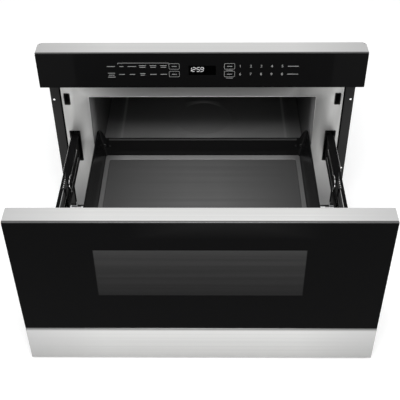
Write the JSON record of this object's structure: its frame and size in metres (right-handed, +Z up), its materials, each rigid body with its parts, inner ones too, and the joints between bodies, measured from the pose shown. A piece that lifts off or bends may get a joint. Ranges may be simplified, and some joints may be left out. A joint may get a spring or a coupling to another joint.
{
  "type": "microwave drawer",
  "caption": "Under-counter microwave oven with a pull-out drawer tray, glass drawer front, touch control panel on top and a boxed case behind the cabinet face.",
  "frame": {"origin": "on the front foot rib under the case, midway across, in the plane where the mounting flanges meet the cabinet face", "axes": "+X to the right seen from the front, +Y into the cabinet, +Z up"},
  "size_m": [0.606, 0.9753, 0.404],
  "materials": {
    "stainless": "fine horizontal brushing",
    "black_glass": "black backed, glossy",
    "frame_steel": "satin, brushed upright",
    "zinc_steel": "zinc coated sheet",
    "dark_steel": "dark satin paint",
    "rail_steel": "black satin, greased",
    "retainer_steel": "bright strip",
    "screen_steel": "perforated, dark",
    "core_steel": "varnished laminations",
    "screw_steel": "bright",
    "aluminium": "plain",
    "black_enamel": "gloss enamel",
    "black_ceramic": "smooth",
    "glass_ceramic": "smooth dark grey",
    "grey_seal": "satin grey",
    "black_plastic": "fine texture",
    "cream_plastic": "natural",
    "black_rubber": "matte",
    "board_green": "circuit board",
    "sensor_film": "film"
  },
  "bodies": {
    "case": {"base_pan": "zinc_steel", "case_wrap": "zinc_steel", "rear_cover": "zinc_steel", "cord_inlet": "black_rubber", "front_frame": "frame_steel", "mounting_flange_left": "dark_steel", "mounting_flange_right": "dark_steel", "cavity_shell": "black_enamel", "stirrer_cover": "black_ceramic", "stirrer_well": "aluminium", "waveguide": "aluminium", "stirrer_motor": "cream_plastic", "magnetron": "aluminium", "hv_transformer": "core_steel", "hv_capacitor": "aluminium", "fan_shroud": "black_plastic", "fan_motor": "core_steel", "cavity_lamp": "cream_plastic", "power_board": "board_green", "noise_filter": "board_green", "control_housing": "black_plastic", "control_glass": "black_glass", "control_top_cap": "stainless", "touch_sensor_sheet": "sensor_film", "display_module": "black_plastic", "control_board": "board_green", "outer_rail_left": "rail_steel", "outer_rail_right": "rail_steel", "rail_mount_left": "zinc_steel", "rail_mount_right": "zinc_steel", "drive_motor": "black_plastic", "latch_housing_left": "black_plastic", "latch_housing_right": "black_plastic"},
    "drawer": {"door_glass": "black_glass", "door_bottom_strip": "stainless", "door_top_cap": "stainless", "door_frame": "dark_steel", "door_screen": "screen_steel", "door_back_panel": "dark_steel", "door_inner_pane": "black_glass", "door_choke": "black_plastic", "drawer_tray": "black_enamel", "tray_rim": "grey_seal", "glass_floor": "glass_ceramic", "tray_screw_left": "screw_steel", "tray_screw_right": "screw_steel", "inner_rail_left": "rail_steel", "inner_rail_right": "rail_steel", "rail_bracket_left": "rail_steel", "rail_bracket_right": "rail_steel", "drive_rack": "cream_plastic", "latch_hook_left": "cream_plastic", "latch_hook_right": "cream_plastic"},
    "mid_rail_left": {"mid_rail_left": "rail_steel"},
    "mid_rail_right": {"mid_rail_right": "rail_steel"},
    "ball_retainer_left": {"ball_retainer_left": "retainer_steel"},
    "ball_retainer_right": {"ball_retainer_right": "retainer_steel"},
    "drive_pinion": {"drive_pinion": "cream_plastic"},
    "stirrer_antenna": {"stirrer_antenna": "aluminium"},
    "fan_blade": {"fan_blade": "black_plastic"}
  },
  "joints": [
    {"name": "drawer_slide", "type": "slide", "parent": "case", "child": "drawer", "axis": [0, 1, 0], "range_m": [0, 0.3725]},
    {"name": "mid_rail_left_slide", "type": "slide", "parent": "case", "child": "mid_rail_left", "axis": [0, 1, 0], "range_m": [0, 0.18625]},
    {"name": "mid_rail_right_slide", "type": "slide", "parent": "case", "child": "mid_rail_right", "axis": [0, 1, 0], "range_m": [0, 0.18625]},
    {"name": "ball_retainer_left_slide", "type": "slide", "parent": "case", "child": "ball_retainer_left", "axis": [0, 1, 0], "range_m": [0, 0.27937]},
    {"name": "ball_retainer_right_slide", "type": "slide", "parent": "case", "child": "ball_retainer_right", "axis": [0, 1, 0], "range_m": [0, 0.27937]},
    {"name": "drive_pinion_spin", "type": "hinge", "parent": "case", "child": "drive_pinion", "pos_m": [-0.258, 0.03, 0.1226], "axis": [1, 0, 0], "range_deg": [-1800, 0]},
    {"name": "stirrer_spin", "type": "hinge", "parent": "case", "child": "stirrer_antenna", "pos_m": [0, 0.205, 0.075], "axis": [0, 0, 1], "continuous": true},
    {"name": "fan_spin", "type": "hinge", "parent": "case", "child": "fan_blade", "pos_m": [0.178, 0.5, 0.155], "axis": [0, 1, 0], "continuous": true}
  ],
  "couplings": [
    {"joint": "mid_rail_left_slide", "follows": "drawer_slide", "ratio": 0.5},
    {"joint": "mid_rail_right_slide", "follows": "drawer_slide", "ratio": 0.5},
    {"joint": "ball_retainer_left_slide", "follows": "drawer_slide", "ratio": 0.75},
    {"joint": "ball_retainer_right_slide", "follows": "drawer_slide", "ratio": 0.75},
    {"joint": "drive_pinion_spin", "follows": "drawer_slide", "rad_per_m": -83.333}
  ]
}
